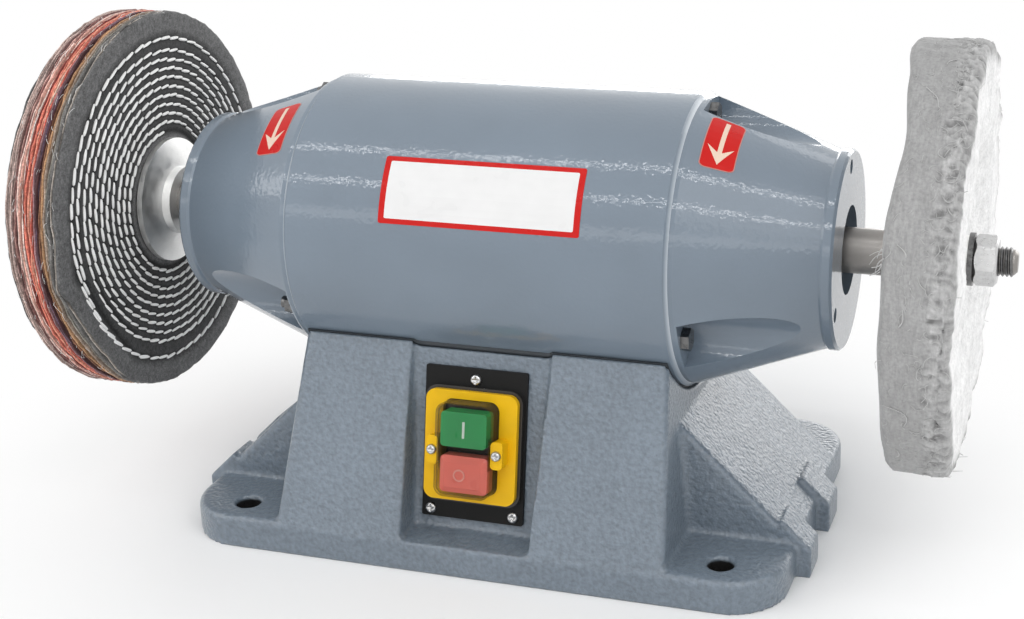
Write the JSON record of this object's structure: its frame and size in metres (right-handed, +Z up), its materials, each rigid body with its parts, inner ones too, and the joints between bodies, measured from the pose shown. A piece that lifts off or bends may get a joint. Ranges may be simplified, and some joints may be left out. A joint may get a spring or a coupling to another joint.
{
  "type": "polishing machine",
  "caption": "Bench polishing machine: double-ended motor on a cast pedestal with start and stop buttons, a sewn cloth wheel on one spindle end and a loose cotton wheel on the other.",
  "frame": {"origin": "on the bench plane, under the middle of the spindle", "axes": "+X along the spindle to the operator's right, +Y away from the operator, +Z up"},
  "size_m": [0.49, 0.206, 0.252],
  "materials": {
    "casting_paint": "blue-grey paint over a rough casting",
    "motor_paint": "glossy blue-grey paint with slight orange peel",
    "gasket_rubber": "black sheet rubber",
    "cover_paint": "blue-grey paint",
    "plated_steel": "bright zinc plating",
    "spindle_steel": "turned steel",
    "bearing_steel": "ground steel",
    "flange_metal": "turned and polished",
    "core_steel": "laminated steel",
    "copper": "enamelled copper wire",
    "black_plastic": "black moulded plastic",
    "yellow_plastic": "yellow moulded plastic",
    "clear_cover": "clear, slightly smoky flexible cover",
    "green_plastic": "green moulded plastic",
    "red_plastic": "red moulded plastic",
    "pale_plastic": "pale moulded plastic",
    "sewn_cloth": "dark sewn cloth plies",
    "cotton": "loose undyed cotton"
  },
  "bodies": {
    "root": {"base_casting": "casting_paint", "motor_housing": "motor_paint", "left_end_bell": "motor_paint", "right_end_bell": "motor_paint", "saddle_gasket": "gasket_rubber", "bottom_cover": "cover_paint", "cover_screws": "plated_steel", "housing_bolts": "plated_steel", "tie_bolts": "plated_steel", "tie_nuts": "plated_steel", "plate_screws": "plated_steel", "frame_screws": "plated_steel", "left_bearing_outer_ring": "bearing_steel", "right_bearing_outer_ring": "bearing_steel", "left_bearing_shields": "bearing_steel", "right_bearing_shields": "bearing_steel", "preload_washer": "bearing_steel", "capacitor_clamp": "bearing_steel", "stator_core": "core_steel", "stator_windings": "copper", "switch_plate": "black_plastic", "switch_body": "black_plastic", "cable_gland": "black_plastic", "gland_lock_nut": "black_plastic", "switch_frame": "yellow_plastic", "switch_cover": "clear_cover", "capacitor": "pale_plastic", "terminal_block": "pale_plastic", "lead_grommet": "gasket_rubber"},
    "spindle": {"spindle": "spindle_steel", "rotor": "core_steel", "left_bearing_inner_ring": "bearing_steel", "right_bearing_inner_ring": "bearing_steel", "left_inner_flange": "flange_metal", "left_outer_flange": "flange_metal", "left_washer": "plated_steel", "left_spindle_nut": "plated_steel", "left_cloth_wheel": "sewn_cloth", "right_inner_flange": "flange_metal", "right_outer_flange": "flange_metal", "right_washer": "plated_steel", "right_spindle_nut": "plated_steel", "right_cotton_wheel": "cotton"},
    "start_button": {"start_button": "green_plastic"},
    "stop_button": {"stop_button": "red_plastic"}
  },
  "joints": [
    {"name": "shaft_spin", "type": "hinge", "parent": "root", "child": "spindle", "pos_m": [0, 0, 0.149], "axis": [1, 0, 0], "continuous": true},
    {"name": "start_press", "type": "slide", "parent": "root", "child": "start_button", "axis": [0, 0.9781, -0.2079], "range_m": [0, 0.003], "stiffness_N_per_m": 400, "springref_m": -0.001},
    {"name": "stop_press", "type": "slide", "parent": "root", "child": "stop_button", "axis": [0, 0.9781, -0.2079], "range_m": [0, 0.003], "stiffness_N_per_m": 400, "springref_m": -0.001}
  ]
}
